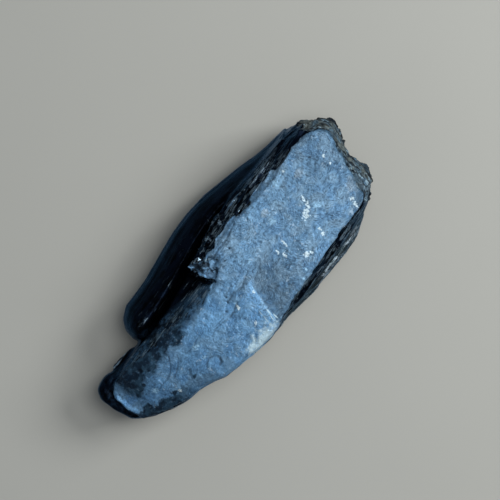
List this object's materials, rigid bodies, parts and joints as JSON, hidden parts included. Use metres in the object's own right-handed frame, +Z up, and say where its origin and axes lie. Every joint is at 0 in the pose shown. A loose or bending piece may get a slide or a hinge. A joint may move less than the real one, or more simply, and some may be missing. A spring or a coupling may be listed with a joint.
{
  "type": "rough kyanite crystal",
  "caption": "Rough bladed kyanite crystal lump, a loose mineral specimen that lies on a flat cleavage face.",
  "frame": {"origin": "under the middle of the bounding box, on the surface that the stone rests on", "axes": "+X along the blades towards the broken upper end, +Y towards the dark stepped side, +Z up out of the broad cleavage face"},
  "size_m": [0.0388, 0.0166, 0.0097],
  "materials": {
    "kyanite": "silky to pearly on the cleavage face, glassy and dark on the striated sides"
  },
  "bodies": {
    "root": {"kyanite": "kyanite"}
  },
  "joints": []
}
